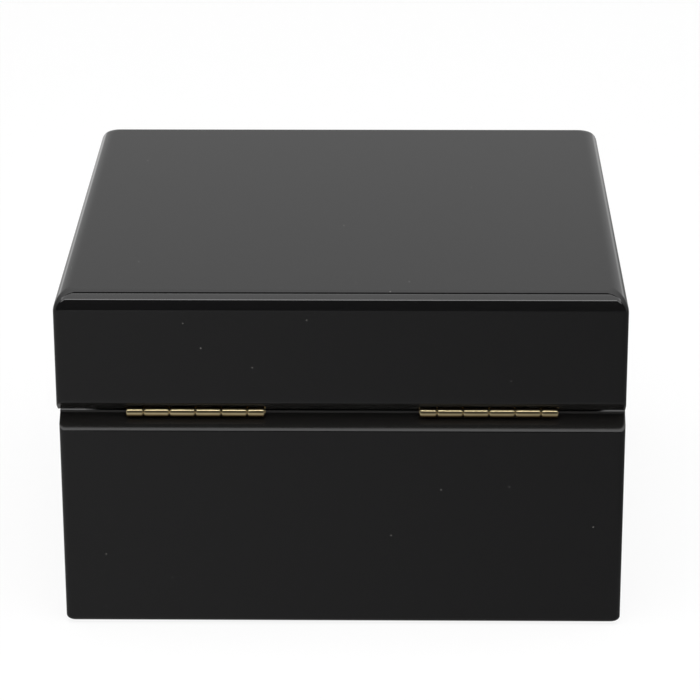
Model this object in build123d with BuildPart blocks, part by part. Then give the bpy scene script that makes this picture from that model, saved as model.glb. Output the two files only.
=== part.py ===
from build123d import *
import os

# Wooden watch box, black lacquer, seen closed from behind: a base and a hinged lid.
# Millimetres, +Z up, front at -Y, hinges at +Y, origin under the middle of the felt pad.

# Case
case_width = 120.0
case_depth = 120.0
base_height = 48.0
lid_height = 27.1
parting_gap = 0.3
wall = 10.0
bottom_board = 6.0
top_board = 6.0
upright_round = 1.4
top_round = 4.2
foot_round = 1.3
rim_chamfer = 0.3
overcut = 2.0

# Felt under the base
felt_thickness = 0.5
felt_inset = 3.0
felt_corner = 2.0

# V groove along the back, where the lid and the base meet
groove_depth = 3.75
groove_drop = 2.8
groove_rise = 2.85
base_arris_round = 0.7
lid_arris_round = 1.6

# Butt hinges, let into both rims
hinge_setback = 14.15
axis_inset = 2.5
knuckle_radius = 1.15
end_knuckle = 3.75
mid_knuckle = 5.5
mid_knuckles = 4
knuckle_gap = 0.12
pin_radius = 0.5
pin_press = 0.01
pin_running = 0.05
leaf_thickness = 0.8
leaf_reach = 6.5
leaf_corner = 0.6
leaf_clearance = 0.12
barrel_clearance = 0.35

# Countersunk wood screws in the hinge leaves
screw_radius = 0.8
screw_head_radius = 1.4
screw_length = 7.5
screw_tip = 1.6
screw_spacing = 10.0
screws_per_leaf = 3
screw_clearance = 0.03
slot_length = 3.2
slot_width = 0.4
slot_depth = 0.3

# Closing magnets in the front rims
magnet_radius = 3.0
magnet_thickness = 3.0
magnet_setback = 30.0
magnet_sunk = 0.05
magnet_clearance = 0.03

# Lining cards, their lip inside the lid, and the padded lid panel
card = 2.0
lip_height = 3.0
lip_clearance = 0.5
card_round = 0.6
floor_card = 1.5
lining_clearance = 0.2
lid_pad_thickness = 7.0
lid_pad_corner = 3.0
lid_pad_round = 2.6

# Foam insert with the well that the watch pillow stands in
insert_height = 28.0
insert_corner = 1.5
insert_top_round = 1.0
insert_end_rim = 7.4
well_corner = 6.0
well_round = 2.5

# Watch pillow
pillow_depth = 58.0
pillow_height = 40.0
pillow_crown = 2.0
pillow_side_bulge = 2.5
pillow_side_round = 14.0
pillow_end_round = 9.0
pillow_clearance = 0.5
pillow_rest_gap = 0.3

# Levels and places that follow from the sizes
base_z = felt_thickness
rim_z = base_z + base_height
lid_z = rim_z + parting_gap
top_z = lid_z + lid_height
back_y = case_depth / 2
axis_y = back_y - axis_inset
axis_z = (rim_z + lid_z) / 2
groove_y = back_y - groove_depth
cavity_width = case_width - 2 * wall
cavity_depth = case_depth - 2 * wall
lid_wall = wall - lip_clearance
lid_cavity_width = case_width - 2 * lid_wall
lid_cavity_depth = case_depth - 2 * lid_wall
floor_z = base_z + bottom_board
floor_card_z = floor_z + floor_card
lid_ceiling_z = top_z - top_board
lid_card_z = rim_z + lip_height + lip_clearance
hinge_length = 2 * end_knuckle + mid_knuckles * mid_knuckle
knuckle_lengths = [end_knuckle] + [mid_knuckle] * mid_knuckles + [end_knuckle]
knuckle_starts = [sum(knuckle_lengths[:i]) - hinge_length / 2 for i in range(len(knuckle_lengths))]
hinge_spacing = case_width - 2 * hinge_setback - hinge_length
screw_y = axis_y - (knuckle_radius + leaf_reach) / 2
head_depth = screw_head_radius - screw_radius
hinge_places = {"left": -hinge_spacing / 2, "right": hinge_spacing / 2}
magnet_spacing = case_width - 2 * magnet_setback
magnet_y = -case_depth / 2 + wall / 2
insert_width = cavity_width - 2 * card - lining_clearance
insert_depth = cavity_depth - 2 * card - lining_clearance
well_width = insert_width - 2 * insert_end_rim
well_depth = pillow_depth + 2 * pillow_clearance
pillow_length = well_width - 2 * pillow_clearance

# Each side of the case and its turn about Z
side_turns = {"front": 0, "right": 90, "back": 180, "left": 270}

os.makedirs("parts", exist_ok=True)


def side_span(side, width, depth):
    """Length of a side and its distance from the middle, for a rectangle of this width and depth."""
    if side in ("front", "back"):
        return width, depth / 2
    return depth, width / 2


def mitred_side(outside, side, width, depth, thickness):
    """One side of a frame of this width, depth and thickness, mitred at both ends and cut to the outside."""
    length, reach = side_span(side, width, depth)
    with BuildPart() as piece:
        with BuildSketch(Plane.XY.rotated((0, 0, side_turns[side]))):
            with BuildLine():
                Polyline(
                    (-length / 2 - overcut, -reach - overcut),
                    (length / 2 + overcut, -reach - overcut),
                    (length / 2 - thickness, -reach + thickness),
                    (-length / 2 + thickness, -reach + thickness),
                    close=True,
                )
            make_face()
        extrude(amount=top_z)
        add(outside.part, mode=Mode.INTERSECT)
    return piece


def finish(piece, name):
    """Label a finished piece and write it."""
    piece.part.label = name
    export_step(piece.part, f"parts/{name}.step")


def screw_places(x):
    """Middle of each screw of a hinge that is centred on x."""
    first = -(screws_per_leaf - 1) / 2 * screw_spacing
    return [(x + first + i * screw_spacing, screw_y) for i in range(screws_per_leaf)]


all_screw_places = [place for x in hinge_places.values() for place in screw_places(x)]
magnet_places = [(-magnet_spacing / 2, magnet_y), (magnet_spacing / 2, magnet_y)]

# Room that the hinges take in both rims: leaf mortises, barrel troughs and screw pilots
mortise_length = hinge_length + 2 * leaf_clearance
mortise_depth = leaf_reach + leaf_clearance
with BuildPart() as base_hinge_room:
    for hinge_x in hinge_places.values():
        with BuildSketch(Plane.XY.offset(rim_z - leaf_thickness)):
            with Locations((hinge_x, axis_y)):
                Rectangle(mortise_length, mortise_depth, align=(Align.CENTER, Align.MAX))
        extrude(amount=leaf_thickness + parting_gap)
        with BuildSketch(Plane.YZ.offset(hinge_x)):
            with Locations((axis_y, axis_z)):
                Circle(knuckle_radius + barrel_clearance)
        extrude(amount=mortise_length / 2, both=True)
    with BuildSketch(Plane.XY.offset(rim_z)):
        with Locations(*all_screw_places):
            Circle(screw_radius + screw_clearance)
    extrude(amount=-screw_length)

with BuildPart() as lid_hinge_room:
    add(base_hinge_room.part.mirror(Plane.XY.offset(axis_z)))

# Base outside: rounded uprights and foot, cut to the side outline with its bevel, then bored
with BuildPart() as base_outline:
    with BuildSketch(Plane.YZ.offset(-case_width / 2 - overcut)) as outline:
        with BuildLine():
            Polyline(
                (-back_y - overcut, base_z - overcut),
                (back_y, base_z - overcut),
                (back_y, rim_z - groove_drop),
                (groove_y, rim_z),
                (-back_y - overcut, rim_z),
                close=True,
            )
        make_face()
        fillet(outline.vertices().group_by(Axis.X)[-1].sort_by(Axis.Y)[-1], base_arris_round)
    extrude(amount=case_width + 2 * overcut)

with BuildPart() as base_outside:
    with BuildSketch(Plane.XY.offset(base_z)):
        Rectangle(case_width, case_depth)
    extrude(amount=base_height + overcut)
    fillet(base_outside.edges().filter_by(Axis.Z), upright_round)
    fillet(base_outside.faces().sort_by(Axis.Z)[0].edges(), foot_round)
    add(base_outline.part, mode=Mode.INTERSECT)
    chamfer(base_outside.faces().sort_by(Axis.Z)[-1].edges().sort_by(Axis.Y)[:-1], rim_chamfer)
    add(base_hinge_room.part, mode=Mode.SUBTRACT)
    with BuildSketch(Plane.XY.offset(rim_z)):
        with Locations(*magnet_places):
            Circle(magnet_radius + magnet_clearance)
    extrude(amount=-(magnet_thickness + magnet_sunk), mode=Mode.SUBTRACT)

# Base walls, mitred at the corners
for side in side_turns:
    base_wall = mitred_side(base_outside, side, case_width, case_depth, wall)
    finish(base_wall, f"base_{side}_wall")

with BuildPart() as base_bottom_board:
    with BuildSketch(Plane.XY.offset(base_z)):
        Rectangle(cavity_width, cavity_depth)
    extrude(amount=bottom_board)
finish(base_bottom_board, "base_bottom_board")

with BuildPart() as base_felt:
    with BuildSketch(Plane.XY):
        RectangleRounded(case_width - 2 * felt_inset, case_depth - 2 * felt_inset, felt_corner)
    extrude(amount=felt_thickness)
finish(base_felt, "base_felt")

# Lid outside: rounded uprights and top, cut to the side outline with its bevel
with BuildPart() as lid_outline:
    with BuildSketch(Plane.YZ.offset(-case_width / 2 - overcut)) as outline:
        with BuildLine():
            Polyline(
                (-back_y - overcut, top_z + overcut),
                (back_y, top_z + overcut),
                (back_y, lid_z + groove_rise),
                (groove_y, lid_z),
                (-back_y - overcut, lid_z),
                close=True,
            )
        make_face()
        fillet(outline.vertices().group_by(Axis.X)[-1].sort_by(Axis.Y)[0], lid_arris_round)
    extrude(amount=case_width + 2 * overcut)

with BuildPart() as lid_outside:
    with BuildSketch(Plane.XY.offset(lid_z - overcut)):
        Rectangle(case_width, case_depth)
    extrude(amount=lid_height + overcut)
    fillet(lid_outside.edges().filter_by(Axis.Z), upright_round)
    fillet(lid_outside.faces().sort_by(Axis.Z)[-1].edges(), top_round)
    add(lid_outline.part, mode=Mode.INTERSECT)
    chamfer(lid_outside.faces().sort_by(Axis.Z)[0].edges().sort_by(Axis.Y)[:-1], rim_chamfer)

# Lid top board, down to the ceiling, with the rounded top edge all in it
with BuildPart() as lid_top_board:
    add(lid_outside.part)
    split(bisect_by=Plane.XY.offset(lid_ceiling_z), keep=Keep.TOP)
finish(lid_top_board, "lid_top_board")

# Lid rails under the top board, mitred like the base walls
with BuildPart() as lid_rail_outside:
    add(lid_outside.part)
    split(bisect_by=Plane.XY.offset(lid_ceiling_z), keep=Keep.BOTTOM)
    add(lid_hinge_room.part, mode=Mode.SUBTRACT)
    with BuildSketch(Plane.XY.offset(lid_z)):
        with Locations(*magnet_places):
            Circle(magnet_radius + magnet_clearance)
    extrude(amount=magnet_thickness + magnet_sunk, mode=Mode.SUBTRACT)

for side in side_turns:
    lid_rail = mitred_side(lid_rail_outside, side, case_width, case_depth, lid_wall)
    finish(lid_rail, f"lid_{side}_rail")

# Hinge leaf in the base rim: a plate with every other knuckle, screwed down from above
for hinge_side, hinge_x in hinge_places.items():
    leaf_blanks = {}
    for first_knuckle, owner in enumerate(("base", "lid")):
        own_knuckles = range(first_knuckle, len(knuckle_lengths), 2)
        bore = pin_radius + (pin_press if owner == "base" else pin_running)
        with BuildPart() as leaf:
            with BuildSketch(Plane.XY.offset(rim_z - leaf_thickness)):
                with Locations((hinge_x, axis_y - knuckle_radius - barrel_clearance)):
                    plate_reach = leaf_reach - knuckle_radius - barrel_clearance
                    Rectangle(hinge_length, plate_reach, align=(Align.CENTER, Align.MAX))
            extrude(amount=leaf_thickness)
            fillet(leaf.edges().filter_by(Axis.Z).group_by(Axis.Y)[0], leaf_corner)
            for k in own_knuckles:
                knuckle = knuckle_lengths[k] - knuckle_gap
                knuckle_x = hinge_x + knuckle_starts[k] + knuckle_lengths[k] / 2
                with BuildSketch(Plane.XY.offset(rim_z - leaf_thickness)):
                    with Locations((knuckle_x, axis_y)):
                        Rectangle(knuckle, leaf_reach / 2, align=(Align.CENTER, Align.MAX))
                extrude(amount=leaf_thickness)
                with BuildSketch(Plane.YZ.offset(knuckle_x)):
                    with Locations((axis_y, axis_z)):
                        Circle(knuckle_radius)
                extrude(amount=knuckle / 2, both=True)
            with BuildSketch(Plane.YZ.offset(hinge_x)):
                with Locations((axis_y, axis_z)):
                    Circle(bore)
            extrude(amount=hinge_length, both=True, mode=Mode.SUBTRACT)
            with Locations(Plane.XY.offset(rim_z)):
                with Locations(*screw_places(hinge_x)):
                    CounterSinkHole(
                        screw_radius + screw_clearance,
                        screw_head_radius + screw_clearance,
                        counter_sink_angle=90,
                    )
        leaf_blanks[owner] = leaf

    finish(leaf_blanks["base"], f"hinge_{hinge_side}_base_leaf")

    # The lid's leaf is the same pressing turned over, in the lid rim
    with BuildPart() as lid_leaf:
        add(leaf_blanks["lid"].part.mirror(Plane.XY.offset(axis_z)))
    finish(lid_leaf, f"hinge_{hinge_side}_lid_leaf")

    with BuildPart() as hinge_pin:
        with BuildSketch(Plane.YZ.offset(hinge_x)):
            with Locations((axis_y, axis_z)):
                Circle(pin_radius)
        extrude(amount=(hinge_length - knuckle_gap) / 2, both=True)
    finish(hinge_pin, f"hinge_{hinge_side}_pin")

# Hinge screws: slotted countersunk heads flush with the leaves
with BuildPart() as base_screws:
    with BuildSketch(Plane.XY.offset(rim_z)):
        with Locations(*all_screw_places):
            Circle(screw_radius)
    extrude(amount=-(screw_length - screw_tip))
    for place in all_screw_places:
        with Locations(Plane.XY.offset(rim_z - head_depth / 2)):
            with Locations(place):
                Cone(screw_radius, screw_head_radius, head_depth)
        with Locations(Plane.XY.offset(rim_z - screw_length + screw_tip / 2)):
            with Locations(place):
                Cone(0, screw_radius, screw_tip)
    with BuildSketch(Plane.XY.offset(rim_z)):
        with Locations(*all_screw_places):
            Rectangle(slot_length, slot_width)
    extrude(amount=-slot_depth, mode=Mode.SUBTRACT)
finish(base_screws, "hinge_base_screws")

with BuildPart() as lid_screws:
    add(base_screws.part.mirror(Plane.XY.offset(axis_z)))
finish(lid_screws, "hinge_lid_screws")

# Magnets in the base rim and steel discs over them in the lid rim
with BuildPart() as base_magnets:
    with BuildSketch(Plane.XY.offset(rim_z - magnet_sunk)):
        with Locations(*magnet_places):
            Circle(magnet_radius)
    extrude(amount=-magnet_thickness)
finish(base_magnets, "base_magnets")

with BuildPart() as lid_discs:
    add(base_magnets.part.mirror(Plane.XY.offset(axis_z)))
finish(lid_discs, "lid_steel_discs")

# Lining cards of the base, standing on the bottom board and proud of the rim, their tops eased
with BuildPart() as base_lining_outside:
    with BuildSketch(Plane.XY.offset(floor_z)):
        Rectangle(cavity_width, cavity_depth)
    extrude(amount=rim_z + lip_height - floor_z)

for side in side_turns:
    lining_card = mitred_side(base_lining_outside, side, cavity_width, cavity_depth, card)
    with lining_card:
        fillet(lining_card.faces().sort_by(Axis.Z)[-1].edges().sort_by(SortBy.LENGTH)[-2:], card_round)
    finish(lining_card, f"base_{side}_lining")

with BuildPart() as base_floor_lining:
    with BuildSketch(Plane.XY.offset(floor_z)):
        Rectangle(insert_width, insert_depth)
    extrude(amount=floor_card)
finish(base_floor_lining, "base_floor_lining")

# Lining cards of the lid, clear of the base's lip
with BuildPart() as lid_lining_outside:
    with BuildSketch(Plane.XY.offset(lid_card_z)):
        Rectangle(lid_cavity_width, lid_cavity_depth)
    extrude(amount=lid_ceiling_z - lid_card_z)

for side in side_turns:
    lining_card = mitred_side(lid_lining_outside, side, lid_cavity_width, lid_cavity_depth, card)
    with lining_card:
        fillet(lining_card.faces().sort_by(Axis.Z)[0].edges().sort_by(SortBy.LENGTH)[-2:], card_round)
    finish(lining_card, f"lid_{side}_lining")

# Padded panel in the lid, rounded over along its lower edges
with BuildPart() as lid_pad:
    with BuildSketch(Plane.XY.offset(lid_ceiling_z)):
        pad_width = lid_cavity_width - 2 * card - lining_clearance
        pad_depth = lid_cavity_depth - 2 * card - lining_clearance
        RectangleRounded(pad_width, pad_depth, lid_pad_corner)
    extrude(amount=-lid_pad_thickness)
    fillet(lid_pad.faces().sort_by(Axis.Z)[0].edges(), lid_pad_round)
finish(lid_pad, "lid_pad")

# Foam insert with the pillow's well
with BuildPart() as insert_ring:
    with BuildSketch(Plane.XY.offset(floor_card_z)):
        RectangleRounded(insert_width, insert_depth, insert_corner)
    extrude(amount=insert_height)
    fillet(insert_ring.faces().sort_by(Axis.Z)[-1].edges(), insert_top_round)
    with BuildSketch(Plane.XY.offset(floor_card_z)):
        RectangleRounded(well_width, well_depth, well_corner)
    extrude(amount=insert_height, mode=Mode.SUBTRACT)
    fillet(insert_ring.faces().sort_by(Axis.Z)[-1].inner_wires()[0].edges(), well_round)
finish(insert_ring, "insert_ring")

# Watch pillow, standing in the well: crowned above and below, with bulging sides and round ends
pillow_z = floor_card_z + pillow_rest_gap
pillow_top = pillow_z + pillow_height
shoulder_y = pillow_depth / 2 - pillow_side_bulge
with BuildPart() as watch_pillow:
    with BuildSketch(Plane.YZ) as cross_section:
        with BuildLine():
            ThreePointArc(
                (-shoulder_y, pillow_top - pillow_crown),
                (0, pillow_top),
                (shoulder_y, pillow_top - pillow_crown),
            )
            ThreePointArc(
                (shoulder_y, pillow_top - pillow_crown),
                (pillow_depth / 2, (pillow_z + pillow_top) / 2),
                (shoulder_y, pillow_z + pillow_crown),
            )
            ThreePointArc(
                (shoulder_y, pillow_z + pillow_crown),
                (0, pillow_z),
                (-shoulder_y, pillow_z + pillow_crown),
            )
            ThreePointArc(
                (-shoulder_y, pillow_z + pillow_crown),
                (-pillow_depth / 2, (pillow_z + pillow_top) / 2),
                (-shoulder_y, pillow_top - pillow_crown),
            )
        make_face()
        fillet(cross_section.vertices(), pillow_side_round)
    extrude(amount=pillow_length / 2, both=True)
    fillet(watch_pillow.faces().filter_by(Axis.X).edges(), pillow_end_round)
finish(watch_pillow, "watch_pillow")
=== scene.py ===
import math

import bmesh
import bpy
import numpy as np
from mathutils import Matrix, Vector


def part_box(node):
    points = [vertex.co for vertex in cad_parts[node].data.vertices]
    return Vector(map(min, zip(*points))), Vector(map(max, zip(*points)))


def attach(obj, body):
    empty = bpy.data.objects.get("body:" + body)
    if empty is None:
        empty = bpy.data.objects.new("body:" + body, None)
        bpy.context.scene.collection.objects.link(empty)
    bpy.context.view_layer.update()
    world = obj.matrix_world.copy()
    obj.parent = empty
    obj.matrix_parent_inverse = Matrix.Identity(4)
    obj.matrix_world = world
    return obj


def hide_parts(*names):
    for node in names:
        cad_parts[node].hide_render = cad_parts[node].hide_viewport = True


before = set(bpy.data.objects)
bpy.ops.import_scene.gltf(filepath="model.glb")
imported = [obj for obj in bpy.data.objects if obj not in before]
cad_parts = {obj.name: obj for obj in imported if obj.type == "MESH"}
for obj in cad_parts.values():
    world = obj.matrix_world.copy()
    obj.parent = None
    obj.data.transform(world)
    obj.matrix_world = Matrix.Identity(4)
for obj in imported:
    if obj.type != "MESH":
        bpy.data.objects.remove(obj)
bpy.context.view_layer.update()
mm = 0.001

# The photograph is taken from behind the box, a little above it, with a long lens.
# The camera stands where the box's corners and edges in it say: 0.68 m back and 0.3 m up.
camera_place = Vector((-11.71, 678.84, 302.95)) * mm
camera_pitch = math.radians(21.129)
camera_yaw = math.radians(0.922)
camera_roll = math.radians(-0.187)
camera_data = bpy.data.cameras.new("camera")
camera_data.sensor_width = 36.0
camera_data.lens = 162.9
camera_data.clip_start = 0.05
camera_data.clip_end = 20.0
camera = bpy.data.objects.new("camera", camera_data)
bpy.context.scene.collection.objects.link(camera)
ahead = Vector((
    math.sin(camera_yaw) * math.cos(camera_pitch),
    -math.cos(camera_yaw) * math.cos(camera_pitch),
    -math.sin(camera_pitch),
))
level_right = Vector((-math.cos(camera_yaw), -math.sin(camera_yaw), 0.0))
level_up = level_right.cross(ahead)
camera_right = math.cos(camera_roll) * level_right + math.sin(camera_roll) * level_up
camera_up = camera_right.cross(ahead)
camera_turn = Matrix((camera_right, camera_up, -ahead)).transposed()
camera.matrix_world = Matrix.Translation(camera_place) @ camera_turn.to_4x4()
bpy.context.scene.camera = camera
bpy.context.scene.view_settings.view_transform = "Standard"


# The stage is a photographer's table: a wide sheet of pale paper, a paper sweep that stands
# behind the box and round its sides, and one broad softbox overhead. To the camera all paper is
# white; in the lacquer the floor is greyer than the sweep, and the room around is dark.
class Signal:
    """A value that varies over a surface: one socket of a material's nodes. Arithmetic on signals
    and numbers adds the Math nodes for it, and node() adds a node of any other kind."""

    def __init__(self, tree, socket=None):
        self.tree = tree
        self.socket = socket

    def node(self, kind, settings=None, sockets=None, output=0):
        """Adds a node: its settings first, then a value or a link on each of the sockets named."""
        node = self.tree.nodes.new(kind)
        for name, value in (settings or {}).items():
            setattr(node, name, value)
        for name, value in (sockets or {}).items():
            if isinstance(value, Signal):
                self.tree.links.new(value.socket, node.inputs[name])
            else:
                node.inputs[name].default_value = value
        return Signal(self.tree, node.outputs[output] if node.outputs else None)

    def math(self, operation, first, second):
        return self.node("ShaderNodeMath", {"operation": operation}, {0: first, 1: second})

    def __add__(self, other):
        return self.math("ADD", self, other)

    def __sub__(self, other):
        return self.math("SUBTRACT", self, other)

    def __rsub__(self, other):
        return self.math("SUBTRACT", other, self)

    def __mul__(self, other):
        return self.math("MULTIPLY", self, other)

    def __lt__(self, other):
        return self.math("LESS_THAN", self, other)

    __radd__ = __add__
    __rmul__ = __mul__


paper_colour = (0.9, 0.9, 0.9, 1.0)


def slope_along(place, axis, start, end, first, last):
    """A value that goes from first to last as the place along an axis goes from start to end."""
    along = place.node("ShaderNodeSeparateXYZ", {}, {"Vector": place}, output=axis)
    slope = {"Value": along, 1: start, 2: end, 3: first, 4: last}
    return place.node("ShaderNodeMapRange", {}, slope)


def paper(name, camera_share, camera_white, gloss_level):
    """Paper: a matt white sheet that glows to the camera, for this share of its colour there, and in
    reflections, at the level that gloss_level gives for the place on it."""
    material = bpy.data.materials.new(name)
    material.use_nodes = True
    material.node_tree.nodes.clear()
    start = Signal(material.node_tree)
    to_camera = start.node("ShaderNodeLightPath", output="Is Camera Ray")
    to_camera += start.node("ShaderNodeLightPath", output="Is Transmission Ray")
    to_gloss = start.node("ShaderNodeLightPath", output="Is Glossy Ray")
    level = gloss_level(start.node("ShaderNodeTexCoord", output="Object"))
    strength = to_camera * camera_white + to_gloss * level
    glow = start.node("ShaderNodeEmission", {}, {"Strength": strength})
    lit = start.node("ShaderNodeBsdfDiffuse", {}, {"Color": paper_colour})
    glow_share = to_camera * camera_share + to_gloss
    mixed = start.node("ShaderNodeMixShader", {}, {0: glow_share, 1: lit, 2: glow})
    start.node("ShaderNodeOutputMaterial", {}, {"Surface": mixed})
    return material


def grid_faces(index):
    """The four-sided faces between the neighbours in a grid of point numbers."""
    corners = [index[:-1, :-1], index[:-1, 1:], index[1:, 1:], index[1:, :-1]]
    return np.stack(corners, -1).reshape(-1, 4).tolist()


def paper_sheet(name, points, material):
    """A sheet of paper over a grid of points; it is stage, not part of the box."""
    rows, columns = points.shape[:2]
    index = np.arange(rows * columns).reshape(rows, columns)
    mesh = bpy.data.meshes.new(name)
    mesh.from_pydata(points.reshape(-1, 3).tolist(), [], grid_faces(index))
    mesh.shade_smooth()
    mesh.materials.append(material)
    sheet = bpy.data.objects.new(name, mesh)
    bpy.context.scene.collection.objects.link(sheet)


# The floor, whose level in reflections rises to the box's right and far out in front of it
floor_half = 3.0
floor_camera_share = 0.86
floor_camera_white = 1.02
floor_gloss = (0.19, 0.38)
floor_gloss_reach = (-0.12, 0.12)
floor_far_gloss = (0.5, 0.0)
floor_far_reach = (-0.55, -0.25)
floor_x, floor_y = np.meshgrid([-floor_half, floor_half], [-floor_half, floor_half])
floor_paper = paper(
    "floor_paper",
    floor_camera_share,
    floor_camera_white,
    lambda place: slope_along(place, "X", *floor_gloss_reach, *floor_gloss)
    + slope_along(place, "Y", *floor_far_reach, *floor_far_gloss),
)
paper_sheet("floor", np.stack([floor_x, floor_y, 0 * floor_x], -1), floor_paper)

# The sweep, part of a cylinder about the box's middle, open towards the camera, brighter upwards
sweep_radius = 1.6
sweep_bottom = -0.02
sweep_top = 3.07
sweep_half_turn = math.radians(112)
sweep_columns = 65
sweep_camera_share = 1.0
sweep_camera_white = 1.0
sweep_gloss = (0.46, 1.3)
sweep_gloss_reach = (0.7, 2.6)
sweep_turn, sweep_z = np.meshgrid(
    np.linspace(-sweep_half_turn, sweep_half_turn, sweep_columns),
    [sweep_bottom, sweep_top],
)
sweep_paper = paper(
    "sweep_paper",
    sweep_camera_share,
    sweep_camera_white,
    lambda place: slope_along(place, "Z", *sweep_gloss_reach, *sweep_gloss),
)
sweep_x = sweep_radius * np.sin(sweep_turn)
sweep_y = -sweep_radius * np.cos(sweep_turn)
paper_sheet("sweep", np.stack([sweep_x, sweep_y, sweep_z], -1), sweep_paper)

# The softbox, and two bare tubes that edge it: they draw the thin bright lines on the lid's
# rounding and on the hinges' barrels
softbox_height = 0.95
softbox_front = -0.080
softbox_back = 0.585
softbox_width = 1.3
softbox_glow = 1.9
front_tube_depth = 0.064
front_tube_glow = 3.0
back_tube_depth = 0.087
back_tube_glow = 6.0


def overhead_light(name, front, back, glow):
    """A level rectangle of light over the box from front to back, whose own brightness is glow: its
    power is pi times its area times that."""
    lamp = bpy.data.lights.new(name, "AREA")
    lamp.shape = "RECTANGLE"
    lamp.size = softbox_width
    lamp.size_y = back - front
    lamp.energy = math.pi * lamp.size * lamp.size_y * glow
    holder = bpy.data.objects.new(name, lamp)
    holder.location = (0.0, (front + back) / 2, softbox_height)
    holder.visible_camera = False
    bpy.context.scene.collection.objects.link(holder)


overhead_light("softbox", softbox_front, softbox_back, softbox_glow)
overhead_light("front_tube", softbox_front - front_tube_depth, softbox_front, front_tube_glow)
overhead_light("back_tube", softbox_back, softbox_back + back_tube_depth, back_tube_glow)

# The room: white to the camera, dark in the lacquer, and a plain level of light on everything else
room_gloss = 0.08
room_light = 0.8
room = bpy.data.worlds.new("room")
room.use_nodes = True
room.node_tree.nodes.clear()
bpy.context.scene.world = room
room_start = Signal(room.node_tree)
room_seen = room_start.node("ShaderNodeLightPath", output="Is Camera Ray")
room_seen += room_start.node("ShaderNodeLightPath", output="Is Transmission Ray")
room_mirrored = room_start.node("ShaderNodeLightPath", output="Is Glossy Ray")
room_diffuse = 1 - room_seen - room_mirrored
room_strength = room_seen + room_mirrored * room_gloss + room_diffuse * room_light
room_background = room_start.node("ShaderNodeBackground", {}, {"Strength": room_strength})
room_start.node("ShaderNodeOutputWorld", {}, {"Surface": room_background})


# The case, base and lid: mitred boards, sanded round at the edges and sprayed with black polyester
# lacquer that is rubbed down and polished to a mirror. The coat keeps a faint orange peel, some
# polishing haze and a few specks of dust.
lacquer_black = (0.0042, 0.0041, 0.0043)
lacquer_index = 1.5
mirror_roughness = 0.02
haze_size = 0.018
haze_roughness = 0.05
peel_size = 0.0028
peel_height = 0.0000012
dust_grey = (0.22, 0.21, 0.20)
dust_cell = 0.0036
dust_radius = 0.00013
dust_chance = 0.22
dust_roughness = 0.5
# painted sheen: a greyer black that lightens the groove where the lid shades it
groove_painted_sheen_black = (0.0110, 0.0106, 0.0100)
groove_roughness = 0.06
groove_from_back = (0.0562, 0.0594)
groove_level = (0.0456, 0.0518)
mask_ease = 0.0003


def new_finish(name):
    """An empty material, and the signal of the piece's own place in metres."""
    material = bpy.data.materials.new(name)
    material.use_nodes = True
    material.node_tree.nodes.clear()
    place = Signal(material.node_tree).node("ShaderNodeTexCoord", output="Object")
    return material, place


def noise(place, size, detail=2.0, roughness=0.5, stretch=(1.0, 1.0, 1.0)):
    """Cloudy noise from 0 to 1 in clouds about size wide, drawn out along an axis by stretch."""
    scale = [1.0 / (size * k) for k in stretch]
    spread = place.node("ShaderNodeVectorMath", {"operation": "MULTIPLY"}, {0: place, 1: scale})
    values = {"Vector": spread, "Scale": 1.0, "Detail": detail, "Roughness": roughness}
    return place.node("ShaderNodeTexNoise", {}, values)


def specks(place, size, radius, chance):
    """1 on small round specks: one in a share of the cells of this size, and 0 elsewhere."""
    shrink = {0: place, "Scale": 1.0 / size}
    spread = place.node("ShaderNodeVectorMath", {"operation": "SCALE"}, shrink)
    values = {"Vector": spread, "Scale": 1.0}
    near = place.node("ShaderNodeTexVoronoi", {}, values, output="Distance") < radius / size
    lot = place.node("ShaderNodeTexVoronoi", {}, values, output="Color")
    lot = place.node("ShaderNodeSeparateColor", {}, {"Color": lot})
    return near * (lot < chance)


def tint(share, first, second):
    """A colour that goes from the first to the second as share goes from 0 to 1."""
    ends = [end if isinstance(end, Signal) else (*end, 1.0) for end in (first, second)]
    values = {0: share, 6: ends[0], 7: ends[1]}
    return share.node("ShaderNodeMix", {"data_type": "RGBA"}, values, output=2)


def relief(height, depth):
    """The normals of a surface whose relief is height, from 0 to 1, times depth in metres."""
    values = {"Strength": 1.0, "Distance": depth, "Height": height}
    return height.node("ShaderNodeBump", {}, values)


def finish(material, place, **surface):
    """Ends a material with these values on its one shader's sockets."""
    sockets = {name.replace("_", " "): value for name, value in surface.items()}
    shader = place.node("ShaderNodeBsdfPrincipled", {}, sockets)
    place.node("ShaderNodeOutputMaterial", {}, {"Surface": shader})
    return material


def between(place, axis, low, high):
    """1 where the place along an axis lies from low to high, and 0 beyond, with soft edges."""
    rise = slope_along(place, axis, low - mask_ease, low, 0.0, 1.0)
    fall = slope_along(place, axis, high, high + mask_ease, 1.0, 0.0)
    return rise * fall


def black_lacquer_finish():
    """Black mirror lacquer: haze clouds in the roughness, orange peel in the normals, dust specks.
    Down in the groove the polishing wheel never reached, so the coat is duller there. Its greyer
    colour there is painted sheen, which lightens the groove where the lid shades it."""
    material, place = new_finish("black_lacquer")
    dust = specks(place, dust_cell, dust_radius, dust_chance)
    haze = noise(place, haze_size, 3.0, 0.6)
    groove = between(place, "Y", *groove_from_back) * between(place, "Z", *groove_level)
    dull = haze * haze_roughness + dust * dust_roughness + groove * groove_roughness
    return finish(
        material,
        place,
        Base_Color=tint(dust, tint(groove, lacquer_black, groove_painted_sheen_black), dust_grey),
        Roughness=mirror_roughness + dull,
        IOR=lacquer_index,
        Normal=relief(noise(place, peel_size, 0.0), peel_height),
    )


def dress(material, *names):
    """Gives CAD nodes a finish in place of the plain one they were packed with."""
    for name in names:
        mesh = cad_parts[name].data
        mesh.materials.clear()
        mesh.materials.append(material)


black_lacquer = black_lacquer_finish()

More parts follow.
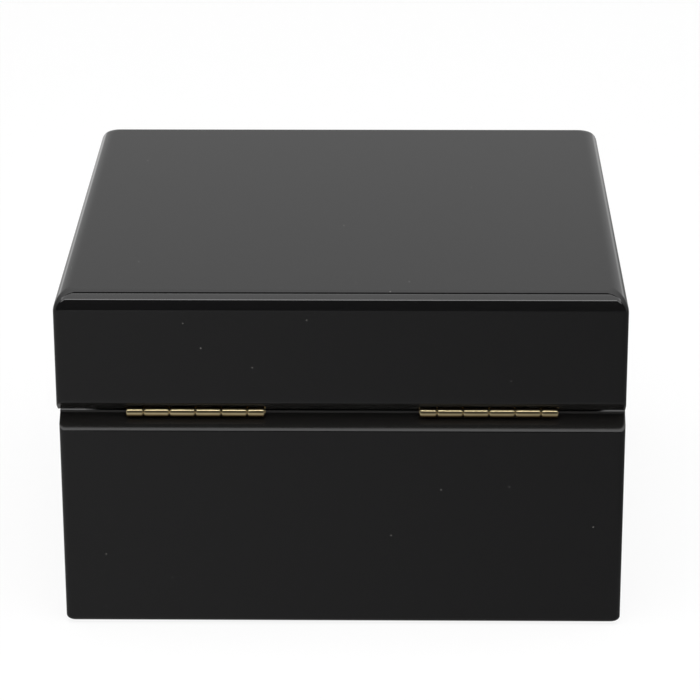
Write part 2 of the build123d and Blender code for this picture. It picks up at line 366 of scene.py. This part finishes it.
# The case's shape, in millimetres
case_half_width = 120.0 / 2
upright_round = 1.4
straight_half = case_half_width - upright_round
rim_ease = 0.3
groove_y = 56.25
groove_depth = 3.75
axis_y = 57.5
axis_above_rim = 0.15
trough_radius = 1.5
mortise_y = 50.88
mortise_depth = 0.8
hinge_middle = 31.1
hinge_half = 14.87
bore_x = 30.0
bore_y = -55.0
bore_radius = 3.03
bore_depth = 3.05
bore_square = 4.0
corner_steps = 30
round_steps = 14
ease_steps = 5
bore_steps = 12
step_width = 1e-6
quarter_turn = math.pi / 2
same_point = 5e-7
case_crease = math.radians(25)


class Skin:
    """Grids and flat faces gathered into one closed mesh; points that coincide are joined last."""

    def __init__(self):
        self.points = []
        self.faces = []
        self.count = 0

    def add(self, points):
        self.points.append(points.reshape(-1, 3))
        self.count += points.size // 3
        return self.count - points.size // 3

    def grid(self, points):
        """Four-sided faces between the neighbours in an array of rows and columns of points."""
        rows, columns = points.shape[:2]
        index = self.add(points) + np.arange(rows * columns).reshape(rows, columns)
        self.faces += grid_faces(index)

    def flat(self, points):
        """One flat face with these points round it."""
        self.faces.append((self.add(points) + np.arange(len(points))).tolist())

    def build(self, name):
        """The mesh in metres, its doubles merged, its faces turned outwards, its creases sharp."""
        mesh = bpy.data.meshes.new(name)
        mesh.from_pydata((np.concatenate(self.points) * mm).tolist(), [], self.faces)
        shape = bmesh.new()
        shape.from_mesh(mesh)
        bmesh.ops.remove_doubles(shape, verts=shape.verts, dist=same_point)
        bmesh.ops.dissolve_degenerate(shape, edges=shape.edges, dist=same_point)
        bmesh.ops.recalc_face_normals(shape, faces=shape.faces)
        shape.to_mesh(mesh)
        shape.free()
        mesh.shade_smooth()
        mesh.set_sharp_from_angle(angle=case_crease)
        return mesh


def groove_outline(y, step, drop, arris):
    """How far the rim lies below its own level at y: nothing up to the groove, then a small step,
    then the straight bevel, then the arris, the arc that meets the bevel and the back face."""
    slope = math.atan2(drop, groove_depth)
    tangent = arris * math.tan((quarter_turn - slope) / 2)
    across = np.clip(y - (case_half_width - arris), 0, arris)
    round_depth = step + drop + tangent - np.sqrt(arris**2 - across**2)
    bevel_depth = np.where(y > groove_y, step + (y - groove_y) * drop / groove_depth, 0.0)
    return np.where(y > case_half_width - tangent * math.cos(slope), round_depth, bevel_depth)


def case_half(
    name,
    rim_z,
    up,
    height,
    step,
    drop,
    arris,
    end_round,
    corner_growth,
    inside,
    inside_depth,
):
    """Half of the case as one closed skin, measured from the rim's level away from the other half.
    Outside: the square plan with rounded uprights, each point a corner centre or a place on the
    straight plus the upright's radius along its normal; at the far end the plan draws in along a
    quarter ellipse, end_round across and down, while its corner radius grows. Rim: strips at the
    groove's outline, sunk to the mortise and the barrel's trough where a hinge lies. Inside: a
    square well."""
    skin = Skin()
    turn = np.linspace(0, quarter_turn, corner_steps + 1)
    inner = inside + rim_ease

    def place(x, y, depth):
        x, y, depth = np.broadcast_arrays(x, y, depth)
        return np.stack([x, y, rim_z + up * depth], -1).astype(float)

    def ease(y):
        return rim_ease * np.clip((groove_y - y) / (groove_y - inner), 0, 1)

    # Back rim, rows: the landing, the trough's arc from mortise to bevel, the rounded corner
    slope = drop / groove_depth
    level = axis_above_rim + step - slope * groove_y
    middle_term = 2 * (slope * level - axis_y)
    last_term = axis_y**2 + level**2 - trough_radius**2
    meets = np.roots([1 + slope**2, middle_term, last_term]).max()
    start = math.pi - math.asin((mortise_depth + axis_above_rim) / trough_radius)
    end = math.acos((meets - axis_y) / trough_radius)
    trough_turn = np.linspace(start, end, round_steps + 1)
    trough_y = axis_y + trough_radius * np.cos(trough_turn)
    corner_y = straight_half + upright_round * np.sin(turn)
    landing_y = np.array([inner, mortise_y, mortise_y, groove_y, groove_y + step_width])
    back_y = np.concatenate([landing_y, trough_y, corner_y])
    plain = groove_outline(back_y, step, drop, arris)
    cut = plain.copy()
    cut[2:5] = mortise_depth
    cut[5:5 + len(trough_y)] = trough_radius * np.sin(trough_turn) - axis_above_rim

    # Its columns: those at a hinge's ends are doubled, once plain and once cut
    hinge_ends = [s * hinge_middle + t * hinge_half for s in (-1, 1) for t in (-1, 1)]
    doubled = np.repeat(hinge_ends, 2)
    back_x = np.array([-case_half_width, -inner, *doubled, inner, case_half_width])
    is_cut = np.array([0, 0, 0, 1, 1, 0, 0, 1, 1, 0, 0, 0], bool)
    past = np.clip(back_y - straight_half, 0, upright_round)
    reach = (straight_half + np.sqrt(upright_round**2 - past**2) - ease(back_y))[:, None]
    depth = np.where(is_cut[None, :], cut[:, None], plain[:, None])
    skin.grid(place(np.clip(back_x[None, :], -reach, reach), back_y[:, None], depth))

    # Front rim: the rounded corner's rows, then a band with the two magnet bores in it
    squares = [s * bore_x + t * bore_square for s in (-1, 1) for t in (-1, 1)]
    front_x = np.array([-case_half_width, -inner, *squares, inner, case_half_width])
    front_reach = (straight_half + (upright_round - rim_ease) * np.cos(turn))[:, None]
    front_y = -(straight_half + (upright_round - rim_ease) * np.sin(turn))[:, None]
    skin.grid(place(np.clip(front_x[None, :], -front_reach, front_reach), front_y, 0.0))
    band_x = np.clip(front_x, rim_ease - case_half_width, case_half_width - rim_ease)
    band_y = np.array([[-straight_half], [-inner]])
    for first in (0, 1, 3, 5, 6):
        skin.grid(place(band_x[None, first:first + 2], band_y, 0.0))
    for middle in (-bore_x, bore_x):
        around = np.linspace(0, 4 * quarter_turn, 4 * bore_steps + 1) + quarter_turn / 2
        bore = (middle + bore_radius * np.cos(around), bore_y + bore_radius * np.sin(around))
        skin.flat(place(bore[0][:-1], bore[1][:-1], bore_depth))
        for quarter in range(4):
            around = np.linspace(0, quarter_turn, bore_steps + 1)
            around = around + quarter_turn / 2 + quarter * quarter_turn
            circle_x = middle + bore_radius * np.cos(around)
            circle_y = bore_y + bore_radius * np.sin(around)
            square_x = middle + bore_square * np.sign(np.cos(around[[-1, 0]]))
            square_y = np.where(np.sin(around[[-1, 0]]) > 0, -inner, -straight_half)
            skin.flat(place(np.append(circle_x, square_x), np.append(circle_y, square_y), 0.0))
            skin.grid(place(circle_x, circle_y, np.array([[0.0], [bore_depth]])))
    for side in (-1, 1):
        strip_x = side * np.array([inner, case_half_width - rim_ease])
        skin.grid(place(strip_x, np.array([[-inner], [inner]]), 0.0))

    # Inside well: its eased edge, its walls and its flat end
    back_edge = np.unique(np.clip(back_x, -inner, inner))
    front_edge = np.unique(np.clip(front_x, -inner, inner))
    well_x = np.concatenate([back_edge, front_edge[::-1], back_edge[:1]])
    well_y = np.concatenate([0 * back_edge + inner, 0 * front_edge - inner, [inner]])
    easing = np.linspace(0, quarter_turn, ease_steps + 1)
    well_half = np.append(inside + rim_ease * (1 - np.sin(easing)), inside)[:, None]
    well_depth = np.append(rim_ease * (1 - np.cos(easing)), inside_depth)[:, None]
    wall_x = np.clip(well_x, -well_half, well_half)
    wall_y = np.clip(well_y, -well_half, well_half)
    skin.grid(place(wall_x, wall_y, well_depth))
    skin.flat(place(wall_x[-1, :-1], wall_y[-1, :-1], inside_depth))

    # Outside: once round the plan, as places on the straight or corner centres, and their normals
    side_y = np.concatenate([[-straight_half, -inner], landing_y, trough_y, [straight_half]])
    back_run = np.unique(np.clip(back_x, -straight_half, straight_half))[::-1]
    front_run = np.unique(np.clip(front_x, -straight_half, straight_half))
    side = 0 * side_y + straight_half
    corner = 0 * turn + straight_half
    back = 0 * back_run + straight_half
    front = 0 * front_run - straight_half
    centre_x = np.concatenate([side, corner, back_run, -corner, -side, -corner, front_run, corner])
    centre_y = np.concatenate([side_y, corner, back, corner, side_y[::-1], -corner, front, -corner])
    facing = np.concatenate([
        0 * side_y,
        turn,
        0 * back_run + quarter_turn,
        turn + quarter_turn,
        0 * side_y + 2 * quarter_turn,
        turn + 2 * quarter_turn,
        0 * front_run + 3 * quarter_turn,
        turn + 3 * quarter_turn,
    ])
    normal_x, normal_y = np.cos(facing), np.sin(facing)
    edge_y = centre_y + upright_round * normal_y
    edge = ease(edge_y)
    rim_depth = groove_outline(edge_y, step, drop, arris)
    rings = []
    for angle in easing:
        radius = upright_round - edge * (1 - math.sin(angle))
        ring_depth = rim_depth + edge * (1 - math.cos(angle))
        ring_x = centre_x + radius * normal_x
        ring_y = centre_y + radius * normal_y
        rings.append(place(ring_x, ring_y, ring_depth))
    for angle in np.linspace(0, quarter_turn, round_steps + 1):
        inset = end_round[0] * (1 - math.cos(angle))
        radius = upright_round + corner_growth * inset
        shrink = (case_half_width - inset - radius) / straight_half
        ring_x = centre_x * shrink + radius * normal_x
        ring_y = centre_y * shrink + radius * normal_y
        rings.append(place(ring_x, ring_y, height - end_round[1] * (1 - math.sin(angle))))
    skin.grid(np.array(rings))
    skin.flat(rings[-1][:-1])
    return skin.build(name)


def read_points(mesh):
    """A mesh's points, one row each, in metres."""
    points = np.empty(len(mesh.vertices) * 3)
    mesh.vertices.foreach_get("co", points)
    return points.reshape(-1, 3)


def write_points(mesh, points):
    mesh.vertices.foreach_set("co", points.ravel())


def stand_out(mesh, beyond, amount):
    """Moves the points on one side out: x + amount where x is more than beyond."""
    points = read_points(mesh)
    points[:, 0] += amount * (points[:, 0] > beyond)
    write_points(mesh, points)


def new_piece(name, mesh):
    """An object at the origin for a mesh whose points are already where the piece is."""
    piece = bpy.data.objects.new(name, mesh)
    bpy.context.scene.collection.objects.link(piece)
    return piece


def place_piece(piece, material, body, slot, *nodes):
    """A finished piece takes its material, rides on its body and stands for its CAD nodes."""
    piece.data.materials.clear()
    piece.data.materials.append(material)
    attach(piece, body)
    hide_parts(*nodes)


def even_shading(piece):
    """Keeps flat faces flat to the eye beside a rounding: normals weighted by face area."""
    weights = piece.modifiers.new("even_shading", "WEIGHTED_NORMAL")
    weights.mode = "FACE_AREA"
    weights.keep_sharp = True


base_skin = case_half(
    "lacquered_base",
    rim_z=48.5,
    up=-1,
    height=48.0,
    step=0.47,
    drop=2.72,
    arris=0.5,
    end_round=(1.3, 1.3),
    corner_growth=0.0,
    inside=50.0,
    inside_depth=42.0,
)
base_case = new_piece("lacquered_base", base_skin)
even_shading(base_case)
place_piece(
    base_case,
    black_lacquer,
    "base",
    "black_lacquer",
    "base_front_wall",
    "base_back_wall",
    "base_left_wall",
    "base_right_wall",
    "base_bottom_board",
)

# The lid was sanded less than the base on its right side, and stands out over it there
lid_overhang = 0.45
beyond_lid_wall = 52.0
lid_skin = case_half(
    "lacquered_lid",
    rim_z=48.8,
    up=1,
    height=27.1,
    step=0.0,
    drop=2.85,
    arris=2.4,
    end_round=(3.6, 4.2),
    corner_growth=0.25,
    inside=50.5,
    inside_depth=21.1,
)
stand_out(lid_skin, beyond_lid_wall * mm, lid_overhang * mm)
lid_case = new_piece("lacquered_lid", lid_skin)
even_shading(lid_case)
place_piece(
    lid_case,
    black_lacquer,
    "lid",
    "black_lacquer",
    "lid_top_board",
    "lid_front_rail",
    "lid_back_rail",
    "lid_left_rail",
    "lid_right_rail",
)


# The two butt hinges in the groove: pressed and polished brass leaves whose knuckles take turns
# along a pin, with the fine marks of the polishing wheel across them, and painted shade darkening
# the barrels' undersides low in the groove. Three countersunk screws hold each leaf in its mortise.
brass_light = (0.96, 0.80, 0.48)
brass_dark = (0.28, 0.19, 0.08)
streak_size = 0.00012
streak_stretch = (1.0, 14.0, 14.0)
streak_depth = 0.000004
tarnish_size = 0.004
tarnish_share = 0.3
under_from_back = (0.0572, 0.0600)
under_level = (0.0470, 0.0483)
# painted shade: how far the barrels' undersides are darkened towards brass_dark
underside_painted_shade_share = 0.9
under_roughness = 0.15


def brass_finish(name, roughness, spread):
    """Brass: streaks of polish round the knuckles, clouds of tarnish, and the barrels' undersides,
    low in the groove, rougher with dust and darkened in colour as painted shade."""
    material, place = new_finish(name)
    streaks = noise(place, streak_size, 2.0, 0.6, streak_stretch)
    tarnish = noise(place, tarnish_size, 4.0, 0.65)
    under = between(place, "Z", *under_level) * between(place, "Y", *under_from_back)
    # tarnish is the metal's own colour; the undersides' share is painted shade
    dark = tarnish * tarnish_share + under * underside_painted_shade_share
    return finish(
        material,
        place,
        Base_Color=tint(dark, brass_light, brass_dark),
        Metallic=1.0,
        Roughness=roughness + streaks * spread + tarnish * spread + under * under_roughness,
        Normal=relief(streaks, streak_depth),
    )


barrel_y = 57.5
barrel_z = 48.65
knuckle_radius = 1.15
knuckle_ease = 0.36
ease_segments = 4
radius_slack = 0.02
end_slack = 0.001
sharp_end = math.radians(60)
same_plane = math.radians(0.5)
leaf_crease = math.radians(32)


def eased_leaf(node):
    """A copy of a leaf's solid whose knuckles have rounded ends: its loose triangles are merged,
    and the edges of each end's outer circle, all at one x and at the barrel's radius, bevelled."""
    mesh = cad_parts[node].data.copy()
    mesh.name = node + "_eased"
    shape = bmesh.new()
    shape.from_mesh(mesh)
    bmesh.ops.remove_doubles(shape, verts=shape.verts, dist=end_slack * mm)
    bmesh.ops.dissolve_limit(
        shape,
        angle_limit=same_plane,
        verts=shape.verts,
        edges=shape.edges,
    )

    def on_rim(vertex):
        radius = math.hypot(vertex.co.y - barrel_y * mm, vertex.co.z - barrel_z * mm)
        return abs(radius - knuckle_radius * mm) < radius_slack * mm

    ends = [
        edge
        for edge in shape.edges
        if on_rim(edge.verts[0]) and on_rim(edge.verts[1])
        and abs(edge.verts[0].co.x - edge.verts[1].co.x) < end_slack * mm
        and len(edge.link_faces) == 2
        and edge.calc_face_angle() > sharp_end
    ]
    bmesh.ops.bevel(
        shape,
        geom=ends,
        offset=knuckle_ease * mm,
        offset_type="OFFSET",
        segments=ease_segments,
        profile=0.5,
        affect="EDGES",
        clamp_overlap=True,
    )
    shape.to_mesh(mesh)
    shape.free()
    if "custom_normal" in mesh.attributes:
        mesh.attributes.remove(mesh.attributes["custom_normal"])
    mesh.shade_smooth()
    mesh.set_sharp_from_angle(angle=leaf_crease)
    return mesh


hinge_brass = brass_finish("hinge_brass", 0.04, 0.06)
screw_brass = brass_finish("screw_brass", 0.26, 0.14)
for side in ("left", "right"):
    for half in ("base", "lid"):
        node = f"hinge_{side}_{half}_leaf"
        leaf = new_piece(f"{side}_{half}_leaf", eased_leaf(node))
        even_shading(leaf)
        place_piece(leaf, hinge_brass, half, "hinge_brass", node)
    dress(hinge_brass, f"hinge_{side}_pin")
dress(screw_brass, "hinge_base_screws", "hinge_lid_screws")


# The closing magnets in the front rim and the steel discs over them in the lid: nickel plated,
# glued into their bores, with a satin face from handling.
nickel_light = (0.66, 0.65, 0.62)
nickel_dark = (0.52, 0.51, 0.49)
nickel_polish = 0.2
scuff_size = 0.0006
scuff_stretch = (1.0, 3.0, 1.0)
scuff_roughness = 0.25
scuff_depth = 0.000008


def nickel_finish():
    """Nickel plate: fine scuffs in the roughness and a faint cloud in the colour."""
    material, place = new_finish("nickel")
    scuffs = noise(place, scuff_size, 4.0, 0.7, scuff_stretch)
    return finish(
        material,
        place,
        Base_Color=tint(scuffs, nickel_light, nickel_dark),
        Metallic=1.0,
        Roughness=nickel_polish + scuffs * scuff_roughness,
        Normal=relief(scuffs, scuff_depth),
    )


dress(nickel_finish(), "base_magnets", "lid_steel_discs")


# The felt under the base: a black flocked sheet, glued on, with fibres standing off it and a
# little grey lint caught in them.
felt_black = (0.010, 0.010, 0.011)
lint_grey = (0.06, 0.06, 0.06)
fibre_size = 0.0005
fibre_depth = 0.0002
fibre_share = 0.6
lint_cell = 0.009
lint_radius = 0.0003
lint_chance = 0.4
lint_share = 0.5


def felt_finish():
    """Black flock: fibre noise in colour and relief, and grey lint specks."""
    material, place = new_finish("black_felt")
    fibres = noise(place, fibre_size, 4.0, 0.8)
    lint = specks(place, lint_cell, lint_radius, lint_chance)
    return finish(
        material,
        place,
        Base_Color=tint(fibres * fibre_share + lint * lint_share, felt_black, lint_grey),
        Roughness=0.95,
        Sheen_Weight=0.3,
        Sheen_Roughness=0.5,
        Normal=relief(fibres, fibre_depth),
    )


dress(felt_finish(), "base_felt")


# The linings: cards wrapped in short cream velvet and glued to the inside of the base and the lid.
# The base's stand a little above its rim, and the shut lid drops over them.
velvet_light = (0.80, 0.72, 0.58)
velvet_dark = (0.58, 0.50, 0.37)
velvet_sheen = (1.0, 0.95, 0.84, 1.0)
velvet_lift = 0.8
pile_size = 0.00055
pile_contrast = 1.3
lay_size = 0.013
lay_stretch = (1.0, 1.7, 1.0)
lay_contrast = 1.1


def velvet_finish(name, pile_depth):
    """Short-pile velvet: fine pile grain, and broad soft patches where the pile lies another way."""
    material, place = new_finish(name)
    pile = noise(place, pile_size, 3.0, 0.8)
    lay = noise(place, lay_size, 3.0, 0.5, lay_stretch)
    dark = lay * lay_contrast + pile * pile_contrast - velvet_lift
    return finish(
        material,
        place,
        Base_Color=tint(dark, velvet_light, velvet_dark),
        Roughness=0.9,
        Sheen_Weight=0.5,
        Sheen_Roughness=0.4,
        Sheen_Tint=velvet_sheen,
        Normal=relief(pile, pile_depth),
    )


lining_velvet = velvet_finish("cream_lining", pile_depth=0.00030)
dress(lining_velvet, "base_floor_lining")
for side in ("front", "back", "left", "right"):
    dress(lining_velvet, f"base_{side}_lining", f"lid_{side}_lining")


# The foam insert: a block of foam with a well for the pillow, wrapped in the same velvet, which is
# pulled over its edges and down into the well, so that they are round and a little uneven.
insert_plan = (47.2, 47.2, 3.0)
insert_well_plan = (41.0, 30.0, 7.0)
insert_foot = 8.2
insert_top = 35.2
insert_round = 2.4
wrap_samples = 9
wrap_steps = 5


def outline(half_x, half_y, corner, inset):
    """A rounded rectangle's points, once round: each corner's centre plus (corner - inset) times
    the unit vector of its turn. The straight sides are the gaps between corners."""
    quarters = np.arange(4)[:, None] * quarter_turn
    turn = (np.linspace(0, quarter_turn, wrap_samples)[None, :] + quarters).ravel()
    middle = turn.reshape(4, -1).mean(1).repeat(wrap_samples)
    x = np.sign(np.cos(middle)) * (half_x - corner) + (corner - inset) * np.cos(turn)
    y = np.sign(np.sin(middle)) * (half_y - corner) + (corner - inset) * np.sin(turn)
    return np.stack([x, y], -1)


def round_edge(plan, low, high, radius):
    """Rings up a block's side: the plan inset by radius * (1 - cos) at heights that follow the arc
    of its lower and its upper edge. plan is (half_x, half_y, corner)."""
    arc = np.linspace(0, quarter_turn, wrap_steps + 1)
    rings = [(radius * (1 - math.sin(a)), low + radius * (1 - math.cos(a))) for a in arc]
    rings += [(radius * (1 - math.cos(a)), high - radius * (1 - math.sin(a))) for a in arc]
    flats = [(outline(*plan, inset), z) for inset, z in rings]
    return np.array([np.column_stack([flat, np.full(len(flat), z)]) for flat, z in flats])


def skin_mesh(name, rings, closed):
    """A mesh over rings of points, in millimetres. A closed one joins the last ring to the first,
    and another ends in a flat face at each end."""
    count, around = rings.shape[:2]
    index = np.arange(count * around).reshape(count, around)
    joined = np.concatenate([index, index[:, :1]], 1)
    faces = grid_faces(np.concatenate([joined, joined[:1]]) if closed else joined)
    if not closed:
        faces += [index[0, ::-1].tolist(), index[-1].tolist()]
    mesh = bpy.data.meshes.new(name)
    mesh.from_pydata((rings.reshape(-1, 3) * mm).tolist(), [], faces)
    shape = bmesh.new()
    shape.from_mesh(mesh)
    bmesh.ops.recalc_face_normals(shape, faces=shape.faces)
    shape.to_mesh(mesh)
    shape.free()
    return mesh


def soft_limit(value, limit, ease):
    """value held below limit, with a smooth knee of width ease:
    -ease * log(exp(-value / ease) + exp(-limit / ease))."""
    return -ease * np.logaddexp(-value / ease, -limit / ease)


stuffing_frames = 20
tiny_length = 1e-9


def stuffed(name, mesh, voxel, pressure, cap, low, high, ease):
    """The padded piece that starts from a mesh: remeshed to even cells, blown up like a cushion,
    each point's move held under cap and every point held inside the box from low to high, in
    metres."""
    piece = new_piece(name, mesh)
    cells = piece.modifiers.new("cells", "REMESH")
    cells.mode = "VOXEL"
    cells.voxel_size = voxel
    meshed = piece.evaluated_get(bpy.context.evaluated_depsgraph_get())
    even = bpy.data.meshes.new_from_object(meshed)
    piece.modifiers.remove(cells)
    piece.data = even
    even.name = name
    before = read_points(even)
    after = before.copy()
    cloth = piece.modifiers.new("stuffing", "CLOTH")
    cloth.settings.quality = 6
    cloth.settings.use_pressure = True
    cloth.settings.uniform_pressure_force = pressure
    cloth.settings.effector_weights.gravity = 0.0
    cloth.settings.bending_stiffness = 0.8
    for number in range(1, stuffing_frames + 1):
        bpy.context.scene.frame_set(number)
    after = read_points(piece.evaluated_get(bpy.context.evaluated_depsgraph_get()).data)
    piece.modifiers.remove(cloth)
    bpy.context.scene.frame_set(1)
    move = after - before
    length = np.linalg.norm(move, axis=1, keepdims=True) + tiny_length
    after = before + move * soft_limit(length, cap, cap * 0.2) / length
    middle = (np.array(low) + np.array(high)) / 2
    half = (np.array(high) - np.array(low)) / 2
    offset = after - middle
    write_points(even, middle + np.sign(offset) * soft_limit(np.abs(offset), half, ease))
    even.shade_smooth()
    rounder = piece.modifiers.new("rounder", "SUBSURF")
    rounder.levels = 1
    rounder.render_levels = 1
    return piece


insert_low, insert_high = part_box("insert_ring")
insert_outside = round_edge(insert_plan, insert_foot, insert_top, insert_round)
insert_well = round_edge(insert_well_plan, insert_foot, insert_top, -insert_round)[::-1]
insert_rings = np.concatenate([insert_outside, insert_well])
foam_insert = stuffed(
    "foam_insert",
    skin_mesh("foam_insert", insert_rings, closed=True),
    voxel=0.003,
    pressure=3.0,
    cap=0.0012,
    low=insert_low,
    high=insert_high,
    ease=0.0003,
)
place_piece(foam_insert, lining_velvet, "base", "cream_lining", "insert_ring")


# The watch pillow: a velvet bag over foam, sewn shut round both ends, that stands in the insert's
# well and takes a closed wrist watch round it.
pillow_plan = (26.5, 17.5, 12.0)
pillow_half_length = 37.0
pillow_end_round = 8.0
pillow_middle_z = 28.3
seam_x = 0.0352
seam_depth = 0.0017
seam_width = 0.0010
seam_radius = 0.027
pucker_depth = 0.0006
pucker_pitch = 0.0062
pucker_reach = 0.0045
pucker_drift = 0.9
pucker_drift_pitch = 0.011
sewn_core = 0.012
cushion_velvet = velvet_finish("cream_cushion", pile_depth=0.00034)
pillow_low, pillow_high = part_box("watch_pillow")


def sew_ends(mesh):
    """Draws the pillow in along a seam round each end: by a bell curve of the distance along x from
    the seam, and by small puckers, waves along the seam that die away from it. All go towards the
    pillow's axis."""
    points = read_points(mesh)
    axis_z = (pillow_low.z + pillow_high.z) / 2
    off_seam = np.abs(points[:, 0]) - seam_x
    spoke = points[:, 1:] - np.array([0.0, axis_z])
    length = np.linalg.norm(spoke, axis=1)
    along = np.arctan2(spoke[:, 1], spoke[:, 0]) * seam_radius
    drift = pucker_drift * np.sin(along / pucker_drift_pitch)
    waves = 0.5 + 0.5 * np.sin(2 * math.pi * along / pucker_pitch + drift)
    draw = seam_depth * np.exp(-(off_seam / seam_width) ** 2)
    draw += pucker_depth * waves * np.exp(-np.abs(off_seam) / pucker_reach)
    draw *= np.clip(length / sewn_core, 0, 1)
    points[:, 1:] -= spoke * (draw / (length + 1e-6))[:, None]
    write_points(mesh, points)


upright_rings = round_edge(pillow_plan, -pillow_half_length, pillow_half_length, pillow_end_round)
across, over, lengthwise = np.moveaxis(upright_rings, -1, 0)
pillow_rings = np.stack([lengthwise, across, over + pillow_middle_z], -1)
pillow = stuffed(
    "pillow",
    skin_mesh("pillow", pillow_rings, closed=False),
    voxel=0.002,
    pressure=6.0,
    cap=0.005,
    low=pillow_low,
    high=pillow_high,
    ease=0.0006,
)
sew_ends(pillow.data)
place_piece(pillow, cushion_velvet, "pillow", "cream_cushion", "watch_pillow")


# The lid's pad: a card with thin foam on it, wrapped in the pillow's velvet and pressed up
# between the lid's linings against its top board.
pad_plan = (47.6, 47.6, 3.2)
pad_bottom = 64.2
pad_top = 69.4
pad_round = 2.4
pad_low, pad_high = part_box("lid_pad")
pad_rings = round_edge(pad_plan, pad_bottom, pad_top, pad_round)
pad = stuffed(
    "lid_cushion",
    skin_mesh("lid_cushion", pad_rings, closed=False),
    voxel=0.003,
    pressure=3.0,
    cap=0.0016,
    low=pad_low,
    high=pad_high,
    ease=0.0003,
)
place_piece(pad, cushion_velvet, "lid", "cream_cushion", "lid_pad")
